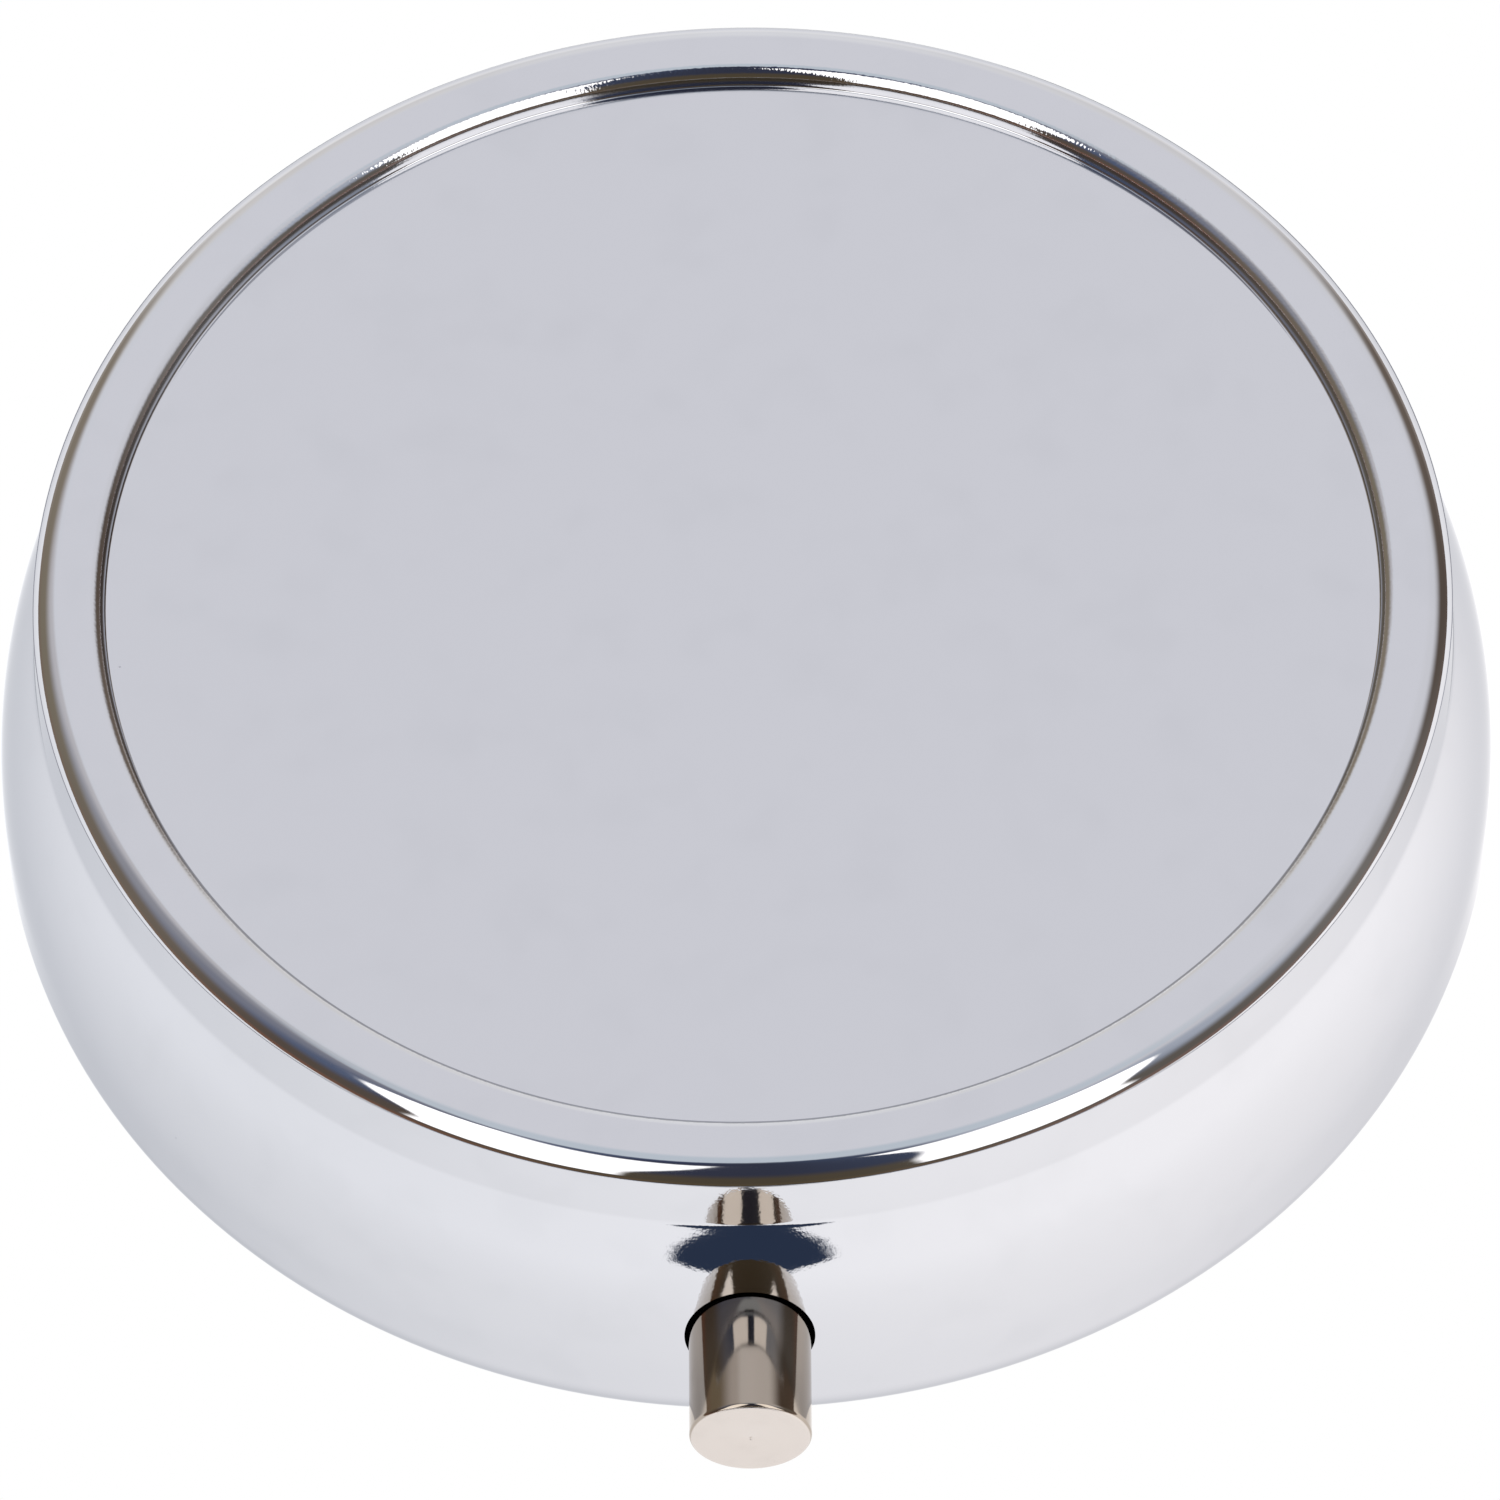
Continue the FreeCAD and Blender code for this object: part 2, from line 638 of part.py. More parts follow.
def make_ring_rivet(name, height, angle, seat):
    """A rivet through the frame ring, its head on the inside at the radius seat."""
    head = rod(name + "_head", "rivet_head_radius", "rivet_head",
               (f"{seat} - rivet_head", "0", height), ALONG_X)
    shank = rod(name + "_shank", "rivet_radius", f"frame_outer - ({seat}) + rivet_head",
                (f"{seat} - rivet_head", "0", height), ALONG_X)
    return turned(name, fuse(name + "_solid", [head, shank]), angle)


def make_lid_rivet(name, x, y):
    """A rivet up through a plate under the liner, its head below the plate."""
    head = rod(name + "_head", "rivet_head_radius", "rivet_head / 2",
               (x, y, "leaf_bottom - rivet_head / 2"))
    shank = rod(name + "_shank", "rivet_radius", "liner_top - leaf_bottom", (x, y, "leaf_bottom"))
    return fuse(name, [head, shank])


# ---------------------------------------------------------------- build, check and write

NODES = [
    make_base_shell(),
    make_inner_frame(),
    make_pill_tray(),
    make_hinge_base_leaf(),
    make_hinge_pin(),
    make_lid_spring(),
    make_catch_spring(),
    make_lid_shell(),
    make_lid_liner(),
    make_hinge_lid_leaf(),
    make_lid_keeper(),
    make_push_button(),
]
LEAF_SEAT = "sqrt(leaf_inner ^ 2 - rivet_head_radius ^ 2)"
SEATS = ("pad_inner", "pad_inner", LEAF_SEAT, LEAF_SEAT)
NODES += [make_ring_rivet(*rivet, seat) for rivet, seat in zip(RING_RIVETS, SEATS)]
NODES += [make_lid_rivet(*rivet) for rivet in LID_RIVETS]
document.recompute()

for thing in document.Objects:
    if "Invalid" in thing.State or "Error" in thing.State:
        raise RuntimeError(f"{thing.Name} failed: {thing.State}")

os.makedirs("parts", exist_ok=True)
for node in NODES:
    shape = node.Shape
    if shape.isNull() or not shape.isValid():
        raise RuntimeError(node.Label + " has no valid shape")
    shape.exportStep(f"parts/{node.Label}.step")
    bounds = shape.optimalBoundingBox()
    print(f"{node.Label}: {len(shape.Solids)} solid, {shape.Volume:.2f} mm3, "
          f"x {bounds.XMin:.2f}..{bounds.XMax:.2f}, y {bounds.YMin:.2f}..{bounds.YMax:.2f}, "
          f"z {bounds.ZMin:.2f}..{bounds.ZMax:.2f}")
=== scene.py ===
# %% [markdown]
# A round push-button pill box, finished in Blender.
#
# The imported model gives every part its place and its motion. This script gives the parts their looks:
# fine meshes where light slides over a curve, and a finish for each metal and for the plastic tray.
# Polished chrome shows nothing but what is around it, so the studio around the box matters as much
# as the metal does.

import math

import bmesh
import bpy
from mathutils import Matrix, Vector


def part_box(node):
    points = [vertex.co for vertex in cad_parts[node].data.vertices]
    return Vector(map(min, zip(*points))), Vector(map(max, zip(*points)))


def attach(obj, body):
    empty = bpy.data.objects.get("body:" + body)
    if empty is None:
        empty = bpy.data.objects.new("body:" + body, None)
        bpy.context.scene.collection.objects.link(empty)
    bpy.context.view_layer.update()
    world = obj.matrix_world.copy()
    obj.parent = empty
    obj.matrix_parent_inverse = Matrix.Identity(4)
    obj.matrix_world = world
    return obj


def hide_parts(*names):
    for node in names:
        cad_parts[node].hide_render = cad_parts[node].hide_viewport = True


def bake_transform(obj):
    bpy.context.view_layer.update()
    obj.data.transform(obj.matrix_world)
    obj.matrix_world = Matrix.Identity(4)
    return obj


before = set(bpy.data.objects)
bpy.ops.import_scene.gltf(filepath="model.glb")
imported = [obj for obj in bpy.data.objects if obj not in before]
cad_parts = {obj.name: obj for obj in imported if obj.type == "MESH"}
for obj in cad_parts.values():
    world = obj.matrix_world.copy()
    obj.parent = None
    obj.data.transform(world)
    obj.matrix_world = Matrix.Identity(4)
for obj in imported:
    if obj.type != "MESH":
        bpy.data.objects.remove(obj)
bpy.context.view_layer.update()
MM = 0.001

# %% [markdown]
# Sizes come from the parts themselves. A part's box gives its outside, and the few sizes that a box
# can't give, such as a bend's radius, are named here in metres.

# %% Sizes
shell_low, shell_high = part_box("base_shell")
lid_low, lid_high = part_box("lid_shell")
button_low, button_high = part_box("push_button")
pin_low, pin_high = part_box("hinge_pin")
spring_low, spring_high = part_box("lid_spring")

WIDEST = shell_high.x
MOUTH_HEIGHT = shell_high.z
SEAM_HEIGHT = MOUTH_HEIGHT + 0.05 * MM
LID_RADIUS = lid_high.x
RIM_HEIGHT = lid_high.z
LINER_TOP = lid_low.z
SHELL_WALL = 0.5 * MM
LID_WALL = 0.4 * MM
LID_ROLL = 1.0 * MM
RIM_WIDTH = 1.9 * MM
PANEL_DEPTH = 0.65 * MM
RIM_ROUND = 0.5 * MM
NECK_RADIUS = LID_RADIUS - 0.05 * MM
CREASE_RADIUS = NECK_RADIUS + 0.15 * MM
CREASE_HEIGHT = SEAM_HEIGHT - 2.1 * MM
WIDEST_HEIGHT = 3.77 * MM
FOOT_ROUND = 2.35 * MM
BUTTON_HEIGHT = (button_low.z + button_high.z) / 2
BUTTON_RADIUS = 2.0 * MM
HOLE_RADIUS = BUTTON_RADIUS + 0.14 * MM
HINGE = Vector((0, (pin_low.y + pin_high.y) / 2, (pin_low.z + pin_high.z) / 2))
print("lid radius", round(LID_RADIUS / MM, 2), "mm, button axis", round(BUTTON_HEIGHT / MM, 2), "mm up")

# %% [markdown]
# Shader maths reads best as maths. This small class wraps a node's output, so that an expression such
# as `0.2 + 0.1 * noise` adds its Math nodes by itself. `node` adds any other node, settings first.

# %% Shader expressions
class Value:
    """One output socket in a material, with arithmetic that adds Math nodes."""

    def __init__(self, finish, socket):
        self.finish = finish
        self.socket = socket

    def _math(self, operation, first, second=None):
        values = {0: first} if second is None else {0: first, 1: second}
        return self.finish.node("ShaderNodeMath", {"operation": operation}, values)[0]

    def __add__(self, other):
        return self._math("ADD", self, other)

    def __radd__(self, other):
        return self._math("ADD", other, self)

    def __sub__(self, other):
        return self._math("SUBTRACT", self, other)

    def __rsub__(self, other):
        return self._math("SUBTRACT", other, self)

    def __mul__(self, other):
        return self._math("MULTIPLY", self, other)

    def __rmul__(self, other):
        return self._math("MULTIPLY", other, self)

    def __truediv__(self, other):
        return self._math("DIVIDE", self, other)

    def __pow__(self, other):
        return self._math("POWER", self, other)

    def __abs__(self):
        return self._math("ABSOLUTE", self)

    def least(self, other):
        return self._math("MINIMUM", self, other)

    def most(self, other):
        return self._math("MAXIMUM", self, other)

    def ramp(self, low, high):
        """0 below low, 1 above high and smooth between; low may be the larger."""
        settings = {"interpolation_type": "SMOOTHSTEP"}
        return self.finish.node("ShaderNodeMapRange", settings, {0: self, 1: low, 2: high})[0]


class Finish:
    """A material or world that is being wired."""

    def __init__(self, owner):
        owner.use_nodes = True
        self.owner = owner
        self.tree = owner.node_tree
        self.tree.nodes.clear()

    def node(self, kind, settings=None, values=None):
        """Add a node; returns its outputs as a list of Value."""
        added = self.tree.nodes.new(kind)
        for name, setting in (settings or {}).items():
            setattr(added, name, setting)
        for name, value in (values or {}).items():
            if isinstance(value, Value):
                self.tree.links.new(value.socket, added.inputs[name])
            else:
                added.inputs[name].default_value = value
        return [Value(self, output) for output in added.outputs]

    def place(self):
        """Object coordinates, in metres."""
        return self.node("ShaderNodeTexCoord")[3]

    def split(self, vector):
        return self.node("ShaderNodeSeparateXYZ", values={0: vector})

    def stretch(self, vector, scale):
        values = {"Vector": vector, "Scale": scale}
        return self.node("ShaderNodeMapping", values=values)[0]

    def noise(self, vector, scale, detail=3.0, roughness=0.5):
        """Soft noise from 0 to 1; scale is in waves per metre."""
        values = {"Vector": vector, "Scale": scale, "Detail": detail, "Roughness": roughness}
        return self.node("ShaderNodeTexNoise", values=values)[0]

    def specks(self, vector, spacing, size, share):
        """1 inside small scattered dots; share is the part of the cells that has one."""
        settings = {"feature": "F1"}
        values = {"Vector": vector, "Scale": 1 / spacing, "Randomness": 1.0}
        distance, colour = self.node("ShaderNodeTexVoronoi", settings, values)[:2]
        chosen = self.split(colour)[0].ramp(share, share * 0.98)
        return distance.ramp(size / spacing, size / spacing * 0.5) * chosen

    def tint(self, factor, first, second):
        """Mix two colours by a value."""
        values = {0: factor, 6: first, 7: second}
        return self.node("ShaderNodeMix", {"data_type": "RGBA"}, values)[2]

    def bump(self, height, distance, strength=1.0):
        values = {"Height": height, "Distance": distance, "Strength": strength}
        return self.node("ShaderNodeBump", values=values)[0]

    def principled(self, **values):
        named = {name.replace("_", " "): value for name, value in values.items()}
        shader = self.node("ShaderNodeBsdfPrincipled", values=named)[0]
        self.node("ShaderNodeOutputMaterial", values={"Surface": shader})
        return self.owner


print("shader helpers ready")

# %% [markdown]
# Chrome plate is bluish and very smooth. What keeps it from looking computed is small: a haze where
# fingers and cloths have been, polishing marks too fine to see one by one, and a little dust. The
# recessed panel was rolled sheet before it was pressed, so a faint grain runs from front to back, and
# the step round it, which the press stretched most, has a coarser skin.

# %% Chrome for the lid and the base
CHROME = (0.635, 0.64, 0.665, 1)
CHROME_DUSTY = (0.50, 0.51, 0.53, 1)
CHROME_EDGE = (0.66, 0.67, 0.69, 1)


def chrome(name, grain_radius=None, skin_share=0.05):
    """Mirror chrome; inside grain_radius the sheet's grain shows, and skin_share roughens the plating."""
    finish = Finish(bpy.data.materials.new(name))
    place = finish.place()
    haze = finish.noise(place, 90, detail=4)
    clouds = finish.noise(place, 420, detail=2)
    dust = finish.specks(place, 1.9 * MM, 0.05 * MM, 0.16)
    roughness = 0.025 + 0.035 * haze.ramp(0.35, 0.75) + 0.25 * dust
    marks = finish.noise(finish.stretch(place, (1, 1, 0.2)), 1500, detail=2)
    skin = finish.noise(place, 8500, detail=1)
    height = 0.10 * marks + 0.9 * finish.noise(place, 160, detail=1) + skin_share * skin
    if grain_radius:
        x, y, z = finish.split(place)
        out_there = (x * x + y * y) ** 0.5
        inside = out_there.ramp(grain_radius + 0.1 * MM, grain_radius - 0.1 * MM)
        step = abs(out_there - (grain_radius + PANEL_DEPTH)).ramp(0.6 * MM, 0.3 * MM)
        height = height + step * 2.2 * skin
        grain = finish.noise(finish.stretch(place, (1, 0.02, 1)), 5200, detail=3, roughness=0.7)
        pitting = finish.noise(place, 9000, detail=1)
        roughness = roughness + inside * (0.035 + 0.07 * grain + 0.03 * pitting)
        height = height + inside * (0.10 * grain + 0.06 * pitting)
    colour = finish.tint(dust.most(0.12 * clouds.ramp(0.45, 0.8)), CHROME, CHROME_DUSTY)
    return finish.principled(Base_Color=colour, Metallic=1.0, Roughness=roughness,
                             Specular_Tint=CHROME_EDGE, Normal=finish.bump(height, 0.0016 * MM))


lid_chrome = chrome("polished_chrome_lid", grain_radius=LID_RADIUS - RIM_WIDTH - PANEL_DEPTH)
base_chrome = chrome("polished_chrome_base", skin_share=0.7)
print("made", lid_chrome.name, base_chrome.name)

# %% [markdown]
# Every round part is an outline turned about an axis. The outline is a short list of points and arcs,
# and Spin turns it. Where an arc meets a flat, a guard point close to the join keeps the flat truly
# flat: without it, smooth shading would tilt the reflection right across the panel.

# %% Turning an outline
GUARD = 0.03 * MM


def arc(centre, radius, start, end, steps):
    """Points on an arc in the (radius, height) plane; angles in degrees from the outward axis."""
    points = []
    for step in range(steps + 1):
        angle = math.radians(start + (end - start) * step / steps)
        points.append((centre[0] + radius * math.cos(angle), centre[1] + radius * math.sin(angle)))
    return points


def turned_mesh(outline, steps=256):
    """Spin a closed outline of (radius, height) points about Z."""
    mesh = bmesh.new()
    points = [mesh.verts.new((across, 0, up)) for across, up in outline]
    edges = [mesh.edges.new((points[i - 1], points[i])) for i in range(len(points))
             if outline[i - 1][0] > 0 or outline[i][0] > 0]
    bmesh.ops.spin(mesh, geom=points + edges, cent=(0, 0, 0), axis=(0, 0, 1), dvec=(0, 0, 0),
                   angle=2 * math.pi, steps=steps, use_merge=True, use_duplicate=False)
    bmesh.ops.remove_doubles(mesh, verts=mesh.verts, dist=0.0005 * MM)
    bmesh.ops.recalc_face_normals(mesh, faces=mesh.faces)
    return mesh


def piece(name, mesh, body, finish, replaces=(), sharp_angle=32):
    """Make an object from a bmesh, smooth except at sharp edges, and let it ride on a body."""
    data = bpy.data.meshes.new(name)
    mesh.to_mesh(data)
    mesh.free()
    data.shade_smooth()
    data.set_sharp_from_angle(angle=math.radians(sharp_angle))
    data.materials.append(finish)
    made = bpy.data.objects.new(name, data)
    bpy.context.scene.collection.objects.link(made)
    if body:
        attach(made, body)
    if replaces:
        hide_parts(*replaces)
    print(name, len(data.polygons), "faces")
    return made


# %% [markdown]
# The lid is one drawn sheet. From the middle outwards it is a flat panel, a tight corner, a rounder
# step up, a flat rim, and a roll that turns down to the seam. The roll is about a millimetre, and it
# is what draws the dark line round the lid.

# %% Lid
panel_radius = LID_RADIUS - RIM_WIDTH - PANEL_DEPTH
panel_height = RIM_HEIGHT - PANEL_DEPTH
crest_radius = LID_RADIUS - RIM_WIDTH
CORNER = 0.06 * MM
roll_rise = RIM_HEIGHT - SEAM_HEIGHT
roll_end = math.degrees(math.asin(1 - roll_rise / LID_ROLL))
roll_radius = LID_RADIUS - LID_ROLL * math.cos(math.radians(roll_end))
roll_height = RIM_HEIGHT - LID_ROLL
under_rim = RIM_HEIGHT - LID_WALL
inner_roll = LID_ROLL - LID_WALL
inner_roll_end = math.degrees(math.asin((LID_ROLL - roll_rise) / inner_roll))
EDGE = 0.03 * MM

wall_radius = crest_radius - RIM_ROUND
lid_outline = [(0, panel_height), (wall_radius - CORNER - GUARD, panel_height)]
lid_outline += arc((wall_radius - CORNER, panel_height + CORNER), CORNER, -90, 0, 6)
lid_outline += arc((crest_radius, RIM_HEIGHT - RIM_ROUND), RIM_ROUND, 180, 90, 24)
lid_outline += [(crest_radius + GUARD, RIM_HEIGHT), (roll_radius - GUARD, RIM_HEIGHT)]
lid_outline += arc((roll_radius, roll_height), LID_ROLL, 90, roll_end + 2, 32)
lid_outline += arc((LID_RADIUS - EDGE, SEAM_HEIGHT + EDGE), EDGE, roll_end, -90, 5)
lid_outline += arc((roll_radius, roll_height), inner_roll, inner_roll_end, 90, 8)
lid_outline += [(crest_radius + GUARD, under_rim)]
lid_outline += arc((crest_radius, RIM_HEIGHT - RIM_ROUND), RIM_ROUND - LID_WALL, 90, 180, 4)
under_corner = wall_radius + LID_WALL - panel_radius
lid_outline += arc((panel_radius, panel_height - LID_WALL + under_corner), under_corner, 0, -90, 14)[1:]
lid_outline += [(panel_radius - GUARD, LINER_TOP), (0, LINER_TOP)]
lid = piece("lid_shell_drawn", turned_mesh(lid_outline), "lid", lid_chrome,
            replaces=["lid_shell"])

# %% [markdown]
# The base is drawn from sheet too: a short neck that flares a hair, a crease, a shoulder that bulges
# like a river stone, a tight foot and a flat bottom. The hole for the button and the notch for the
# hinge are cut after it is turned, as a press would punch them, with two Boolean modifiers.

# %% Base
shoulder_rise = CREASE_HEIGHT - WIDEST_HEIGHT
shoulder_run = WIDEST - CREASE_RADIUS
shoulder_radius = (shoulder_rise ** 2 + shoulder_run ** 2) / (2 * shoulder_run)
shoulder_centre = (WIDEST - shoulder_radius, WIDEST_HEIGHT)
shoulder_end = math.degrees(math.asin(shoulder_rise / shoulder_radius))
inner_shoulder = shoulder_radius - SHELL_WALL
inner_shoulder_end = math.degrees(math.asin(shoulder_rise / inner_shoulder))
foot_centre = (WIDEST - FOOT_ROUND, FOOT_ROUND)
CREASE_STEP = 0.12 * MM

base_outline = [(0, 0), (foot_centre[0] - GUARD, 0)]
base_outline += arc(foot_centre, FOOT_ROUND, -90, 0, 24)
base_outline += arc(shoulder_centre, shoulder_radius, 0, shoulder_end, 40)[:-1]
base_outline += [
    (CREASE_RADIUS + 0.03 * MM, CREASE_HEIGHT - CREASE_STEP / 2),
    (CREASE_RADIUS - 0.008 * MM, CREASE_HEIGHT + CREASE_STEP),
]
base_outline += arc((NECK_RADIUS - EDGE, MOUTH_HEIGHT - EDGE), EDGE, 0, 90, 4)
base_outline += arc((NECK_RADIUS - SHELL_WALL + EDGE, MOUTH_HEIGHT - EDGE), EDGE, 90, 180, 4)
base_outline += arc(shoulder_centre, inner_shoulder, inner_shoulder_end, 0, 24)
base_outline += arc(foot_centre, FOOT_ROUND - SHELL_WALL, 0, -90, 10)
base_outline += [(foot_centre[0] - GUARD, SHELL_WALL), (0, SHELL_WALL)]


def cutter(name, mesh):
    """A tool for a Boolean; cut_away removes it after the cut."""
    data = bpy.data.meshes.new(name)
    mesh.to_mesh(data)
    mesh.free()
    tool = bpy.data.objects.new(name, data)
    bpy.context.scene.collection.objects.link(tool)
    return tool


def cut_away(made, tools):
    """Take the tools' shapes out of a piece and keep only the result."""
    for tool in tools:
        change = made.modifiers.new(tool.name, "BOOLEAN")
        change.operation = "DIFFERENCE"
        change.solver = "EXACT"
        change.object = tool
    bpy.context.view_layer.update()
    evaluated = made.evaluated_get(bpy.context.evaluated_depsgraph_get())
    result = bpy.data.meshes.new_from_object(evaluated)
    made.modifiers.clear()
    made.data = result
    for tool in tools:
        bpy.data.objects.remove(tool)


def rod_mesh(radius, start, end, segments=96):
    """A closed cylinder between two points."""
    mesh = bmesh.new()
    way = end - start
    turn = way.to_track_quat("Z", "Y").to_matrix().to_4x4()
    place = Matrix.Translation((start + end) / 2) @ turn
    bmesh.ops.create_cone(mesh, cap_ends=True, segments=segments, radius1=radius, radius2=radius,
                          depth=way.length, matrix=place)
    return mesh


def box_mesh(low, high):
    """A box between two corners."""
    mesh = bmesh.new()
    size = high - low
    place = Matrix.Translation((low + high) / 2) @ Matrix.Diagonal((*size, 1))
    bmesh.ops.create_cube(mesh, size=1, matrix=place)
    return mesh


NOTCH_HALF_WIDTH = 5.2 * MM
NOTCH_HEIGHT = HINGE.z - 0.95 * MM
base = piece("base_shell_drawn", turned_mesh(base_outline), "base", base_chrome,
             replaces=["base_shell"])
punch = rod_mesh(HOLE_RADIUS, Vector((0, -0.04, BUTTON_HEIGHT)), Vector((0, -0.01, BUTTON_HEIGHT)))
notch = box_mesh(Vector((-NOTCH_HALF_WIDTH, 0.01, NOTCH_HEIGHT)), Vector((NOTCH_HALF_WIDTH, 0.04, 0.03)))
cut_away(base, [cutter("button_punch", punch), cutter("hinge_notch", notch)])
base.data.set_sharp_from_angle(angle=math.radians(32))
print("base after punching:", len(base.data.polygons), "faces")

# %% [markdown]
# The button is turned from bar and nickel plated, which is warmer than chrome. The lathe leaves fine
# rings on the end face and a speck at its middle. The side is painted darker and browner than the end
# face: painted shade for the dark room that the side reflects, with worn blotches and pits mixed in.

# %% Push button
NICKEL = (0.66, 0.605, 0.56, 1)
NICKEL_WORN = (0.56, 0.51, 0.47, 1)
# Painted shade: the two side colours are darker and browner, for the dark room that the side reflects.
NICKEL_SIDE_PAINTED_SHADE = (0.40, 0.345, 0.29, 1)
NICKEL_SIDE_PAINTED_SHADE_WORN = (0.29, 0.24, 0.19, 1)


def nickel(name):
    finish = Finish(bpy.data.materials.new(name))
    place = finish.place()
    x, y, z = finish.split(place)
    across = (x * x + (z - BUTTON_HEIGHT) * (z - BUTTON_HEIGHT)) ** 0.5
    on_end = y.ramp(button_low.y + 0.06 * MM, button_low.y + 0.02 * MM)
    rings = finish.noise(finish.node("ShaderNodeCombineXYZ", values={0: across})[0], 14000, detail=2)
    blotches = finish.noise(place, 700, detail=4)
    pits = finish.specks(place, 0.7 * MM, 0.03 * MM, 0.3)
    roughness = 0.05 + 0.07 * blotches + on_end * (0.10 + 0.10 * rings) + 0.3 * pits
    wear = pits.most(0.5 * blotches.ramp(0.5, 0.85))
    # Painted shade: all but the end face takes the darker side colours, with wear mixed in.
    side = finish.tint(wear, NICKEL_SIDE_PAINTED_SHADE, NICKEL_SIDE_PAINTED_SHADE_WORN)
    colour = finish.tint(on_end, side, finish.tint(wear, NICKEL, NICKEL_WORN))
    height = 0.3 * on_end * rings + 0.5 * blotches
    return finish.principled(Base_Color=colour, Metallic=1.0, Roughness=roughness,
                             Normal=finish.bump(height, 0.003 * MM))


BUTTON_ROUND = 0.16 * MM
FLANGE_RADIUS = button_high.x
FLANGE_FRONT = 22.4 * MM
FLANGE_BACK = 21.8 * MM
STUB_RADIUS = 1.0 * MM
DIMPLE = 0.09 * MM
reach = -button_low.y
button_outline = [(0, -button_high.y), (STUB_RADIUS, -button_high.y), (STUB_RADIUS, FLANGE_BACK)]
button_outline += [(FLANGE_RADIUS, FLANGE_BACK), (FLANGE_RADIUS, FLANGE_FRONT)]
button_outline += [(BUTTON_RADIUS, FLANGE_FRONT), (BUTTON_RADIUS, reach - BUTTON_ROUND - GUARD)]
button_outline += arc((BUTTON_RADIUS - BUTTON_ROUND, reach - BUTTON_ROUND), BUTTON_ROUND, 0, 82, 14)
button_outline += [(BUTTON_RADIUS - BUTTON_ROUND - GUARD, reach)]
button_outline += [(DIMPLE + GUARD, reach), (DIMPLE, reach - 0.01 * MM), (0, reach - 0.05 * MM)]
button_mesh = turned_mesh(button_outline, steps=128)
to_front = Matrix.Translation((0, 0, BUTTON_HEIGHT)) @ Matrix.Rotation(math.radians(90), 4, "X")
bmesh.ops.transform(button_mesh, matrix=to_front, verts=button_mesh.verts)
button = piece("push_button_turned", button_mesh, "button",
               nickel("polished_nickel_button"), replaces=["push_button"])

# %% [markdown]
# Inside, the parts are plainer. The steel fittings are stamped from plated sheet, whose rolling marks
# run one way, and tumbled so that no edge is sharp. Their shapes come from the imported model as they
# are, so a good material is all they need.

# %% Steel fittings
def steel(name, colour, worn, roughness, along, marks=2600):
    """Plated or bare steel with rolling marks along one axis (0, 1 or 2)."""
    finish = Finish(bpy.data.materials.new(name))
    place = finish.place()
    squeeze = [1.0, 1.0, 1.0]
    squeeze[along] = 0.03
    lines = finish.noise(finish.stretch(place, squeeze), marks, detail=3, roughness=0.65)
    clouds = finish.noise(place, 260, detail=4)
    pits = finish.specks(place, 0.9 * MM, 0.05 * MM, 0.2)
    rough = roughness + 0.12 * lines + 0.10 * clouds.ramp(0.4, 0.8) + 0.2 * pits
    tone = finish.tint(pits.most(0.6 * clouds.ramp(0.5, 0.8)), colour, worn)
    height = lines + 0.12 * clouds - pits
    return finish.principled(Base_Color=tone, Metallic=1.0, Roughness=rough,
                             Normal=finish.bump(height, 0.004 * MM))


plated = steel("plated_steel_frame", (0.60, 0.60, 0.61, 1), (0.44, 0.44, 0.45, 1), 0.16, along=0)
liner_steel = steel("plated_steel_liner", (0.64, 0.64, 0.65, 1), (0.50, 0.50, 0.51, 1), 0.12, along=1)
hinge_steel = steel("hinge_steel_leaf", (0.58, 0.57, 0.56, 1), (0.38, 0.37, 0.36, 1), 0.22, along=0)
pin_steel = steel("pin_steel_bar", (0.52, 0.52, 0.53, 1), (0.35, 0.34, 0.33, 1), 0.18, along=0)
spring_steel = steel("spring_steel_blue", (0.36, 0.37, 0.40, 1), (0.22, 0.21, 0.21, 1), 0.2, along=0)
rivet_steel = steel("rivet_steel_head", (0.60, 0.59, 0.57, 1), (0.42, 0.41, 0.40, 1), 0.2, along=2)

FITTINGS = {
    "inner_frame": plated,
    "lid_liner": liner_steel,
    "hinge_base_leaf": hinge_steel,
    "hinge_lid_leaf": hinge_steel,
    "lid_keeper": hinge_steel,
    "hinge_pin": pin_steel,
}
for node_name, finish in FITTINGS.items():
    for material_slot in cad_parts[node_name].material_slots:
        material_slot.material = finish
print("steel on", ", ".join(FITTINGS))

# %% [markdown]
# The tray is moulded in white plastic. A mould can't have a knife edge, so every edge and inner corner
# is rounded. Its shape is copied from the model, its loose triangles are joined into whole faces, and
# Bevel rounds the edges.

# %% Pill tray
def copied_mesh(node_name):
    """A node's mesh with its triangles joined and its flat faces made whole."""
    mesh = bmesh.new()
    mesh.from_mesh(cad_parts[node_name].data)
    bmesh.ops.remove_doubles(mesh, verts=mesh.verts, dist=0.0005 * MM)
    bmesh.ops.dissolve_limit(mesh, angle_limit=math.radians(0.8), verts=mesh.verts, edges=mesh.edges)
    return mesh


def round_edges(mesh, size, segments, angle):
    """Bevel every edge that turns by more than an angle in degrees."""
    edges = [edge for edge in mesh.edges
             if len(edge.link_faces) == 2 and edge.calc_face_angle() > math.radians(angle)]
    bmesh.ops.bevel(mesh, geom=edges, offset=size, offset_type="OFFSET", segments=segments, profile=0.5,
                    affect="EDGES", clamp_overlap=True, material=-1)
    bmesh.ops.recalc_face_normals(mesh, faces=mesh.faces)


def white_plastic(name):
    finish = Finish(bpy.data.materials.new(name))
    place = finish.place()
    flow = finish.noise(place, 130, detail=2)
    spark = finish.noise(place, 6500, detail=2)
    scuffs = finish.noise(finish.stretch(place, (1, 0.15, 1)), 900, detail=4).ramp(0.62, 0.75)
    colour = finish.tint(0.5 * flow + 0.5 * scuffs, (0.84, 0.84, 0.82, 1), (0.77, 0.77, 0.75, 1))
    roughness = 0.30 + 0.12 * spark + 0.15 * scuffs
    return finish.principled(Base_Color=colour, Roughness=roughness,
                             Normal=finish.bump(spark + 2.0 * flow, 0.006 * MM))


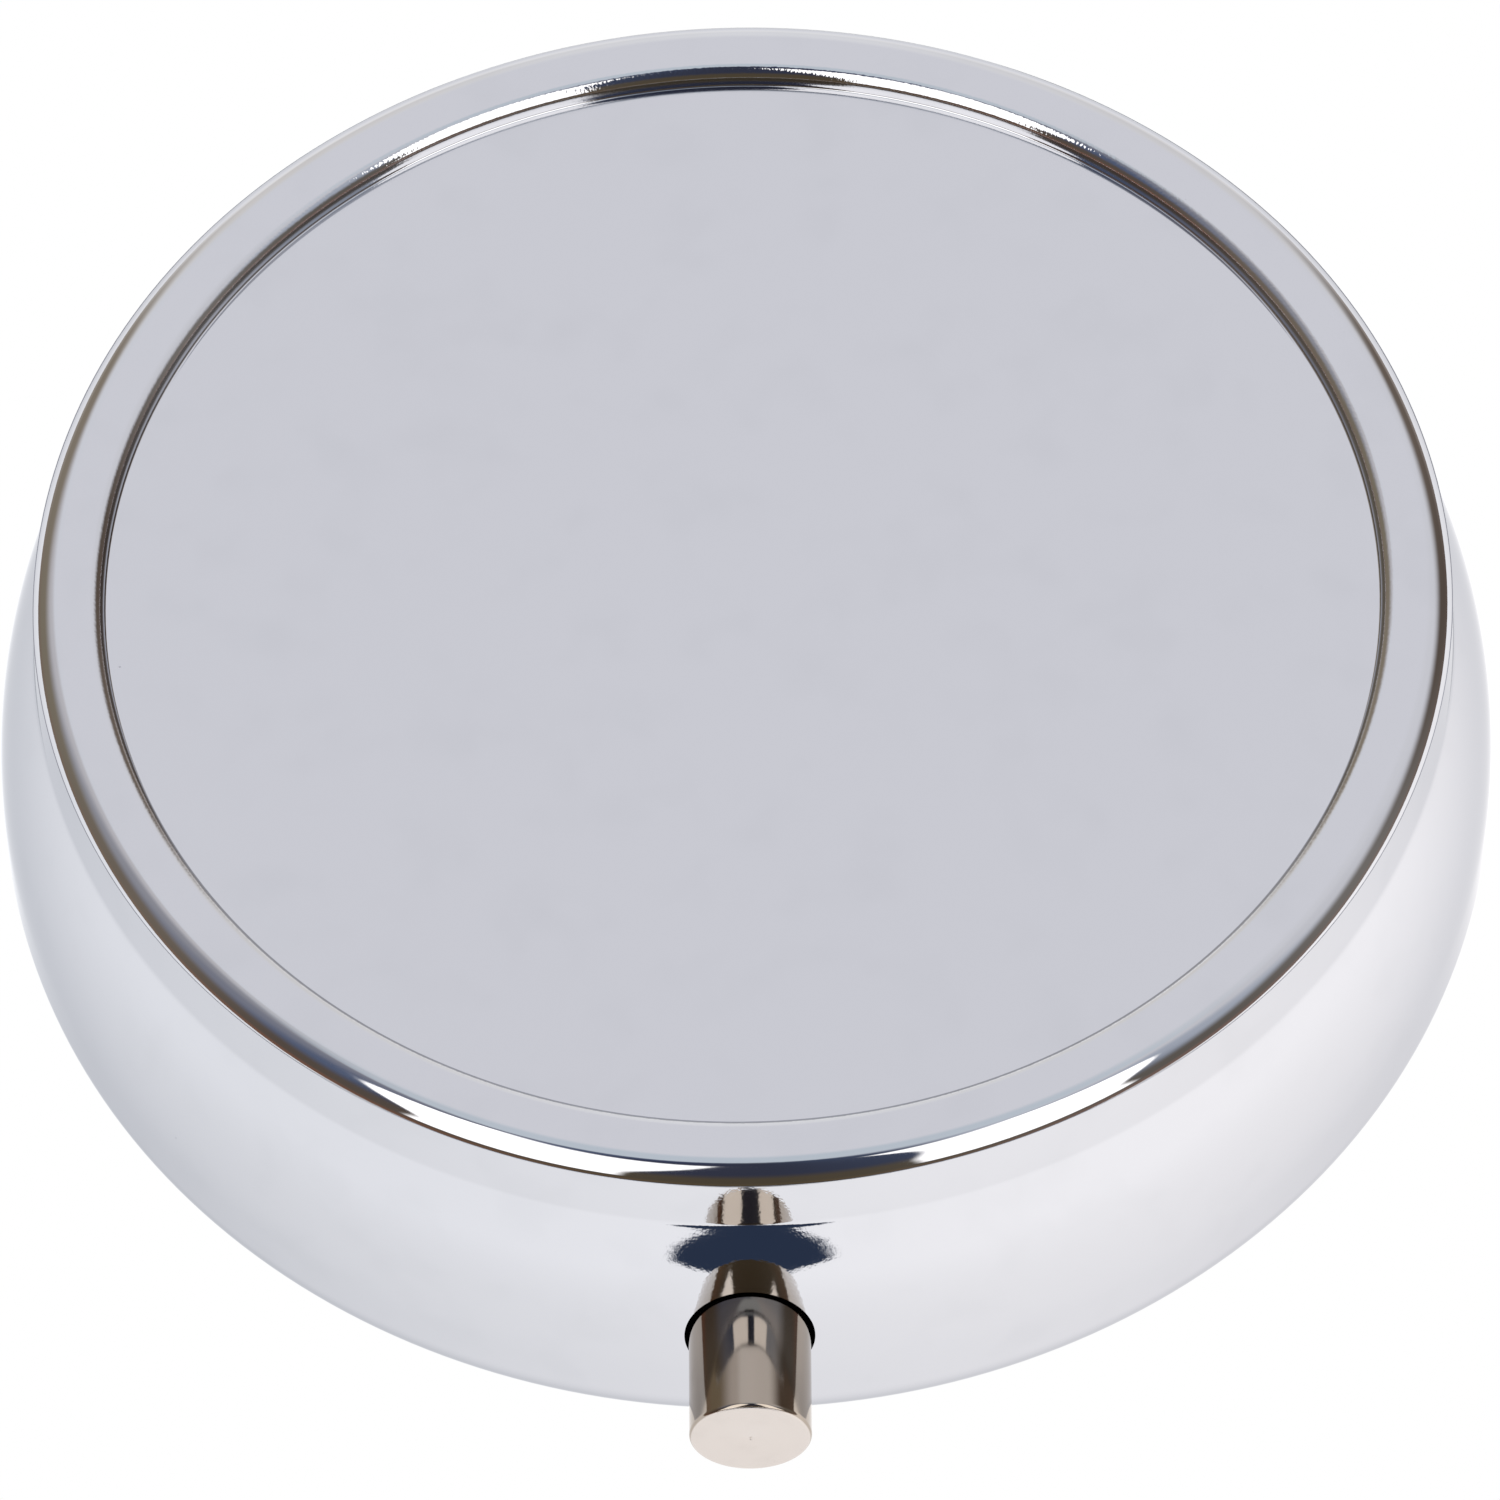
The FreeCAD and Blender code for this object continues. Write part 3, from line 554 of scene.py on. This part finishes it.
tray_mesh = copied_mesh("pill_tray")
round_edges(tray_mesh, 0.22 * MM, 3, 30)
piece("pill_tray_moulded", tray_mesh, "base", white_plastic("white_plastic_tray"),
      replaces=["pill_tray"])

# %% [markdown]
# Rivets have domed heads. One outline is turned for all of them and moved to where each one goes: the
# ring's rivets point out from the middle of the box, and the lid's point up.

# %% Rivets
RIVET_RADIUS = 0.5 * MM
RIVET_HEAD = 0.8 * MM
RING_HEAD_HEIGHT = 0.35 * MM
LID_HEAD_HEIGHT = 0.175 * MM
RING_RIVET_LENGTH = 0.8 * MM
RING_RIVET_END = 23.1 * MM


def rivet_mesh(head_height, length):
    """A rivet along Z, with its shank from 0 up and its head below."""
    rim = 0.3 * head_height
    outline = [(0, -head_height)]
    for degrees in range(10, 91, 10):
        a = math.radians(degrees)
        outline.append((RIVET_HEAD * math.sin(a), -rim - (head_height - rim) * math.cos(a)))
    outline += [(RIVET_HEAD, 0), (RIVET_RADIUS, 0), (RIVET_RADIUS, length), (0, length)]
    return turned_mesh(outline, steps=40)


def rivet(node_name, body, ring):
    """Turn a rivet and put it where its node is; ring says that it goes through the frame's ring."""
    low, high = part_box(node_name)
    centre = (low + high) / 2
    head = RING_HEAD_HEIGHT if ring else LID_HEAD_HEIGHT
    if ring:
        outward = Vector((centre.x, centre.y, 0)).normalized()
        length = RING_RIVET_LENGTH
        base_point = outward * (RING_RIVET_END - length)
        base_point.z = centre.z
        turn = outward.to_track_quat("Z", "Y").to_matrix().to_4x4()
    else:
        length = high.z - low.z - head
        base_point = Vector((centre.x, centre.y, low.z + head))
        turn = Matrix.Identity(4)
    mesh = rivet_mesh(head, length)
    bmesh.ops.transform(mesh, matrix=Matrix.Translation(base_point) @ turn, verts=mesh.verts)
    piece(node_name + "_domed", mesh, body, rivet_steel, replaces=[node_name])


for side in ("left", "right"):
    rivet("catch_rivet_" + side, "base", ring=True)
    rivet("hinge_base_rivet_" + side, "base", ring=True)
    rivet("hinge_lid_rivet_" + side, "lid", ring=False)
    rivet("keeper_rivet_" + side, "lid", ring=False)

# %% [markdown]
# The lid's spring is a coil of wire round the pin. One leg presses on the base's leaf and the other
# lifts the lid. Spin with a small step sideways winds the coil, and extruding its ends makes the legs.
# Two helpers come first: one lengthens an open end of the wire, and one gives a point on the coil.

# %% Wire helpers
WIRE = 0.12 * MM
COIL_RADIUS = 0.55 * MM
COIL_HALF = 1.26 * MM
TURNS = 7
TOP_ANGLE = 88.7
BOTTOM_ANGLE = -102.0


def extrude_end(mesh, edges, move):
    """Lengthen the open end of a wire; returns the new end's edges."""
    made = bmesh.ops.extrude_edge_only(mesh, edges=edges)["geom"]
    verts = [item for item in made if isinstance(item, bmesh.types.BMVert)]
    bmesh.ops.translate(mesh, vec=move, verts=verts)
    return [item for item in made if isinstance(item, bmesh.types.BMEdge)
            and all(vert in verts for vert in item.verts)]


def coil_point(angle, across):
    a = math.radians(angle)
    return Vector((across, HINGE.y + COIL_RADIUS * math.cos(a), HINGE.z + COIL_RADIUS * math.sin(a)))


print("coil of", TURNS, "turns,", round(2 * COIL_HALF / MM, 2), "mm long")

# %% [markdown]
# As the lid turns, each turn of the real coil takes its share of the twist, from none at one leg to all
# of it at the other. Here the coil is one piece that rides on no body, with its place baked into its
# mesh.

# %% Lid spring
COIL_STEPS = 28
FOOT_INSET = 0.55 * MM
FOOT_DROP = 0.24 * MM
base_leaf_low, base_leaf_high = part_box("hinge_base_leaf")
coil_mesh = bmesh.new()
start = coil_point(TOP_ANGLE, COIL_HALF)
place = Matrix.Translation(start) @ Matrix.Rotation(math.radians(90), 4, "X")
bmesh.ops.create_circle(coil_mesh, cap_ends=False, segments=10, radius=WIRE, matrix=place)
first_end = list(coil_mesh.edges)
sweep = TURNS * 360 + TOP_ANGLE - BOTTOM_ANGLE
steps = TURNS * COIL_STEPS
spun = bmesh.ops.spin(coil_mesh, geom=list(coil_mesh.verts) + first_end, cent=HINGE, axis=(-1, 0, 0),
                      dvec=(-2 * COIL_HALF / steps, 0, 0), angle=math.radians(sweep), steps=steps,
                      use_merge=False, use_duplicate=False)
last_end = [item for item in spun["geom_last"] if isinstance(item, bmesh.types.BMEdge)]
lid_leg_end = Vector((COIL_HALF, spring_low.y, spring_high.z - WIRE))
extrude_end(coil_mesh, first_end, lid_leg_end - start)
finish_point = coil_point(BOTTOM_ANGLE, -COIL_HALF)
turn_point = Vector((-COIL_HALF, base_leaf_low.y + FOOT_INSET, HINGE.z - FOOT_DROP))
corner_ring = extrude_end(coil_mesh, last_end, turn_point - finish_point)
corner_verts = list({vert for edge in corner_ring for vert in edge.verts})
bmesh.ops.rotate(coil_mesh, cent=turn_point, matrix=Matrix.Rotation(math.radians(45), 3, "X"),
                 verts=corner_verts)
extrude_end(coil_mesh, corner_ring, Vector((0, -0.02 * MM, spring_low.z - turn_point.z)))
bmesh.ops.holes_fill(coil_mesh, edges=coil_mesh.edges, sides=0)
bmesh.ops.recalc_face_normals(coil_mesh, faces=coil_mesh.faces)
coil = piece("lid_spring_coil", coil_mesh, None, spring_steel, replaces=["lid_spring"],
             sharp_angle=50)
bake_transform(coil)

# %% [markdown]
# The catch's spring is a flat strip riveted at both ends. The button bends its middle back. Each half
# is its own piece, sliced across into many loops from near the middle out towards the rivet; the halves
# ride on no body, with their places baked into their meshes. The nose that holds the lid stands on the
# middle and moves with the button.

# %% Catch spring
catch_low, catch_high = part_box("catch_spring")
STRIP_TOP = BUTTON_HEIGHT + 1.75 * MM
BEND_OUTER = 7.4 * MM
BEND_INNER = 1.7 * MM
BEND_LOOPS = 18


def trimmed(mesh, point, normal):
    """Cut a mesh by a plane, drop what is beyond the plane and close the cut."""
    everything = list(mesh.verts) + list(mesh.edges) + list(mesh.faces)
    bmesh.ops.bisect_plane(mesh, geom=everything, dist=1e-7, plane_co=point, plane_no=normal,
                           clear_outer=True)
    bmesh.ops.holes_fill(mesh, edges=mesh.edges, sides=0)


def spring_half(side):
    """One arm of the strip; side is -1 for the left and 1 for the right."""
    mesh = copied_mesh("catch_spring")
    trimmed(mesh, (0, 0, 0), (-side, 0, 0))
    trimmed(mesh, (0, 0, STRIP_TOP), (0, 0, 1))
    for loop in range(BEND_LOOPS + 1):
        across = side * (BEND_INNER + (BEND_OUTER - BEND_INNER) * loop / BEND_LOOPS)
        everything = list(mesh.verts) + list(mesh.edges) + list(mesh.faces)
        bmesh.ops.bisect_plane(mesh, geom=everything, dist=1e-7, plane_co=(across, 0, 0),
                               plane_no=(1, 0, 0))
    bmesh.ops.recalc_face_normals(mesh, faces=mesh.faces)
    return mesh


for name, side in (("left", -1), ("right", 1)):
    arm = piece("catch_spring_arm_" + name, spring_half(side), None, spring_steel,
                replaces=["catch_spring"])
    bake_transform(arm)

nose_mesh = copied_mesh("catch_spring")
trimmed(nose_mesh, (0, 0, STRIP_TOP), (0, 0, -1))
round_edges(nose_mesh, 0.05 * MM, 2, 30)
piece("catch_spring_nose", nose_mesh, "button", spring_steel, replaces=["catch_spring"])

# %% [markdown]
# The studio is a dark room with a large pale panel behind and above the box, two tall soft boxes in
# front, one to each side, and a white table. Mirror metal needs all of that around it, so the room is
# painted on the world by direction: an azimuth, counted from the front, and a height. Each band below
# gives the colour at one height all the way round, as (azimuth in degrees, red, green, blue).

# %% Studio room
ROOM_HIGH = [
    (-180, 0.92, 0.92, 0.97), (-158, 0.90, 0.91, 0.96), (-142, 0.70, 0.68, 0.70),
    (-112, 0.38, 0.38, 0.42), (-88, 0.26, 0.27, 0.33), (-66, 0.12, 0.15, 0.24),
    (-40, 0.05, 0.06, 0.11), (0, 0.045, 0.05, 0.08), (40, 0.07, 0.09, 0.15), (75, 0.52, 0.56, 0.64),
    (100, 0.80, 0.80, 0.84), (138, 0.88, 0.88, 0.92), (180, 0.92, 0.92, 0.97),
]
ROOM_LOW = [
    (-180, 1.04, 1.04, 1.06), (-160, 0.90, 0.87, 0.84), (-146, 0.32, 0.27, 0.21),
    (-122, 0.27, 0.23, 0.17), (-92, 0.22, 0.18, 0.14), (-62, 0.13, 0.10, 0.08),
    (0, 0.10, 0.078, 0.05), (62, 0.16, 0.14, 0.12), (92, 0.24, 0.22, 0.20), (124, 0.13, 0.10, 0.08),
    (146, 0.20, 0.16, 0.13), (160, 0.90, 0.88, 0.87), (180, 1.04, 1.04, 1.06),
]
ROOM_HORIZON = [
    (-180, 1.18, 1.17, 1.16), (-160, 1.20, 1.18, 1.16), (-146, 0.45, 0.40, 0.34),
    (-122, 0.26, 0.20, 0.15), (-92, 0.26, 0.19, 0.14), (-62, 0.24, 0.12, 0.08),
    (0, 0.12, 0.09, 0.05), (62, 0.26, 0.17, 0.14), (90, 0.28, 0.22, 0.19), (124, 0.15, 0.11, 0.09),
    (146, 0.40, 0.34, 0.30), (160, 1.10, 1.07, 1.05), (180, 1.18, 1.17, 1.16),
]
ROOM_ZENITH = (0.72, 0.79, 0.86, 1)
LAMP_LIGHT = (2.0, 1.96, 1.92, 1)
LAMP_TOP = 75


def band(finish, azimuth, stops):
    """Colour round the horizon; stops are (azimuth in degrees, red, green, blue)."""
    ramp = finish.tree.nodes.new("ShaderNodeValToRGB")
    ramp.color_ramp.interpolation = "EASE"
    elements = ramp.color_ramp.elements
    while len(elements) < len(stops):
        elements.new(1.0)
    for element, (degrees, *colour) in zip(elements, stops):
        element.position = degrees / 360 + 0.5
        element.color = (*colour, 1)
    finish.tree.links.new((azimuth / (2 * math.pi) + 0.5).socket, ramp.inputs[0])
    return Value(finish, ramp.outputs[0])


def soft_box(azimuth, height, side, inner, outer, top):
    """A tall lamp on one side, leaning over the table: 1 inside its outline.

    inner and outer are its edges as (low, high) azimuths in degrees away from the front.
    """
    edge = math.radians(1.2)
    away = azimuth * side
    rise = height.ramp(math.radians(25), math.radians(72))
    inner_edge = math.radians(inner[0]) + math.radians(inner[1] - inner[0]) * rise
    outer_edge = math.radians(outer[0]) + math.radians(outer[1] - outer[0]) * rise
    sides = (away - inner_edge).ramp(-edge, edge) * (away - outer_edge).ramp(edge, -edge)
    under_top = height.ramp(math.radians(top) + 2 * edge, math.radians(top) - 2 * edge)
    over_foot = height.ramp(math.radians(12), math.radians(15))
    return sides * under_top * over_foot


def make_room():
    world = bpy.data.worlds.new("studio")
    bpy.context.scene.world = world
    finish = Finish(world)
    x, y, z = finish.split(finish.node("ShaderNodeTexCoord")[0])
    azimuth = finish.node("ShaderNodeMath", {"operation": "ARCTAN2"}, {0: x, 1: 0 - y})[0]
    height = finish.node("ShaderNodeMath", {"operation": "ARCSINE"}, {0: z})[0]
    high = band(finish, azimuth, ROOM_HIGH)
    low = band(finish, azimuth, ROOM_LOW)
    horizon = band(finish, azimuth, ROOM_HORIZON)
    frontness = abs(azimuth).ramp(math.radians(115), math.radians(60))
    raised = height - math.radians(22) * frontness
    lower = finish.tint(height.ramp(math.radians(3), math.radians(14)), horizon, low)
    middle = finish.tint(height.ramp(math.radians(24), math.radians(46)), lower, high)
    upper = finish.tint(raised.ramp(math.radians(62), math.radians(75)), middle, ROOM_ZENITH)
    lamps = (soft_box(azimuth, height, -1, (17, 10), (45, 76), LAMP_TOP)
             + soft_box(azimuth, height, 1, (22, 30), (51, 78), LAMP_TOP))
    lit = finish.tint(lamps.least(1.0), upper, LAMP_LIGHT)
    background = finish.node("ShaderNodeBackground", values={"Color": lit, "Strength": 1.0})[0]
    plain = finish.node("ShaderNodeBackground", values={"Color": (1.0, 1.0, 1.0, 1), "Strength": 1.0})[0]
    seen = finish.node("ShaderNodeLightPath")[0]
    shown = finish.node("ShaderNodeMixShader", values={0: seen, 1: background, 2: plain})[0]
    finish.node("ShaderNodeOutputWorld", values={"Surface": shown})


make_room()
print("world:", bpy.context.scene.world.name)

# %% [markdown]
# The table is a plain pale sheet that glows by itself, so that it stays white right up to the box. The
# metal sees a second glowing sheet in the same place, which is hidden from the camera. Its glow is
# painted light and shade: painted brighter on the right, where the lamps would light it, painted
# warmer there and cooler on the left, painted dimmer far out in front, and with a painted dark gap,
# for the gap between the lamps, lying across it in front. Both are clear from below, so that the
# underside can be looked at.

# %% Table
TABLE_SIZE = 3.0
TABLE_DROP = 0.02 * MM


def painted_table_light(finish):
    """Painted light and shade on the sheet that the metal sees, by direction from the box."""
    x, y, z = finish.split(finish.place())
    across = finish.node("ShaderNodeMath", {"operation": "ARCTAN2"}, {0: x, 1: 0 - y})[0]
    distance = (x * x + y * y) ** 0.5
    behind = abs(across).ramp(math.radians(80), math.radians(150))
    # Painted light: the glow is brighter towards the right, as the lamps would light it.
    side = across.ramp(math.radians(-70), math.radians(60)) * (1 - behind) + 0.5 * behind
    level = 1.04 + (0.20 - 0.08 * behind) * side
    level = level + 0.10 * abs(across).ramp(math.radians(45), math.radians(85))
    front = abs(across).ramp(math.radians(100), math.radians(40))
    level = level + 0.10 * front * distance.ramp(30 * MM, 46 * MM)
    far = distance.ramp(60 * MM, 400 * MM)
    ragged = math.radians(2.6) * (finish.noise(finish.place(), 260, detail=3) - 0.5)
    # Painted shade: a dark gap across the front, for the gap between the lamps.
    gap_edge = (math.radians(8.4) * distance.ramp(41 * MM, 52 * MM)
                - math.radians(4.4) * distance.ramp(54 * MM, 95 * MM))
    gap = (abs(across) + ragged - gap_edge).ramp(math.radians(0.8), math.radians(-1.2))
    gap = gap * distance.ramp(40 * MM, 43 * MM)
    # Painted light: the tint is cooler on the left and warmer on the right, as lamp light.
    painted_lamp_tint = finish.tint(side, (0.99, 1.0, 1.03, 1), (1.02, 1.0, 1.0, 1))
    # Painted shade: far out in front the glow is painted dimmer and greyer.
    painted_far_fade = finish.tint(far * front, painted_lamp_tint, (0.9, 0.88, 0.86, 1))
    dark = finish.tint(gap, painted_far_fade, (0.03, 0.045, 0.085, 1))
    return dark, level * (1 - 0.9 * gap) + 0.9 * gap


def make_table(name, metal_sees):
    mesh = bmesh.new()
    bmesh.ops.create_grid(mesh, x_segments=2, y_segments=2, size=TABLE_SIZE / 2)
    bmesh.ops.translate(mesh, vec=(0, 0, -TABLE_DROP), verts=mesh.verts)
    data = bpy.data.meshes.new(name)
    mesh.to_mesh(data)
    mesh.free()
    finish = Finish(bpy.data.materials.new(name + "_sheet"))
    colour, level = painted_table_light(finish) if metal_sees else ((1, 1, 1, 1), 1.0)
    white = finish.node("ShaderNodeEmission", values={"Color": colour, "Strength": level})[0]
    clear = finish.node("ShaderNodeBsdfTransparent")[0]
    from_below = finish.node("ShaderNodeNewGeometry")[6]
    surface = finish.node("ShaderNodeMixShader", values={0: from_below, 1: white, 2: clear})[0]
    finish.node("ShaderNodeOutputMaterial", values={"Surface": surface})
    data.materials.append(finish.owner)
    table = bpy.data.objects.new(name, data)
    bpy.context.scene.collection.objects.link(table)
    table.visible_camera = not metal_sees
    table.visible_glossy = metal_sees
    table.visible_diffuse = metal_sees
    table.visible_transmission = not metal_sees


make_table("table", metal_sees=False)
make_table("table_in_metal", metal_sees=True)
print("table", TABLE_SIZE, "m wide")

# %% [markdown]
# The camera stands in front and well above, far back with a long lens, so the circles stay nearly
# true ellipses.

# %% Camera
CAMERA_DISTANCE = 400 * MM
CAMERA_HEIGHT = math.radians(54.61)
CAMERA_SIDE = math.radians(0.85)
CAMERA_ROLL = math.radians(-1.43)
AIM_ACROSS = 0.0003
AIM_UP = -0.0135
SENSOR = 36.0
FOCAL_SHARE = 11981 / 1500


def make_camera():
    seam = Vector((0, 0, SEAM_HEIGHT))
    side_turn = Matrix.Rotation(CAMERA_SIDE, 3, "Z")
    offset = Vector((0, -math.cos(CAMERA_HEIGHT), math.sin(CAMERA_HEIGHT))) * CAMERA_DISTANCE
    right = Vector((1, 0, 0))
    ahead = -offset.normalized()
    up = right.cross(ahead)
    ahead = (ahead + AIM_ACROSS * right + AIM_UP * up).normalized()
    right = ahead.cross(Vector((0, 0, 1))).normalized()
    up = right.cross(ahead)
    rolled_right = math.cos(CAMERA_ROLL) * right + math.sin(CAMERA_ROLL) * up
    rolled_up = math.cos(CAMERA_ROLL) * up - math.sin(CAMERA_ROLL) * right
    axes = Matrix((rolled_right, rolled_up, -ahead)).transposed()
    data = bpy.data.cameras.new("camera")
    data.sensor_width = SENSOR
    data.lens = FOCAL_SHARE * SENSOR
    data.clip_start = 0.01
    camera = bpy.data.objects.new("camera", data)
    camera.matrix_world = Matrix.Translation(side_turn @ offset + seam) @ (side_turn @ axes).to_4x4()
    bpy.context.scene.collection.objects.link(camera)
    bpy.context.scene.camera = camera
    bpy.context.scene.view_settings.view_transform = "Standard"
    bpy.context.scene.view_settings.look = "None"
    print("lens", round(data.lens, 1), "mm")


make_camera()
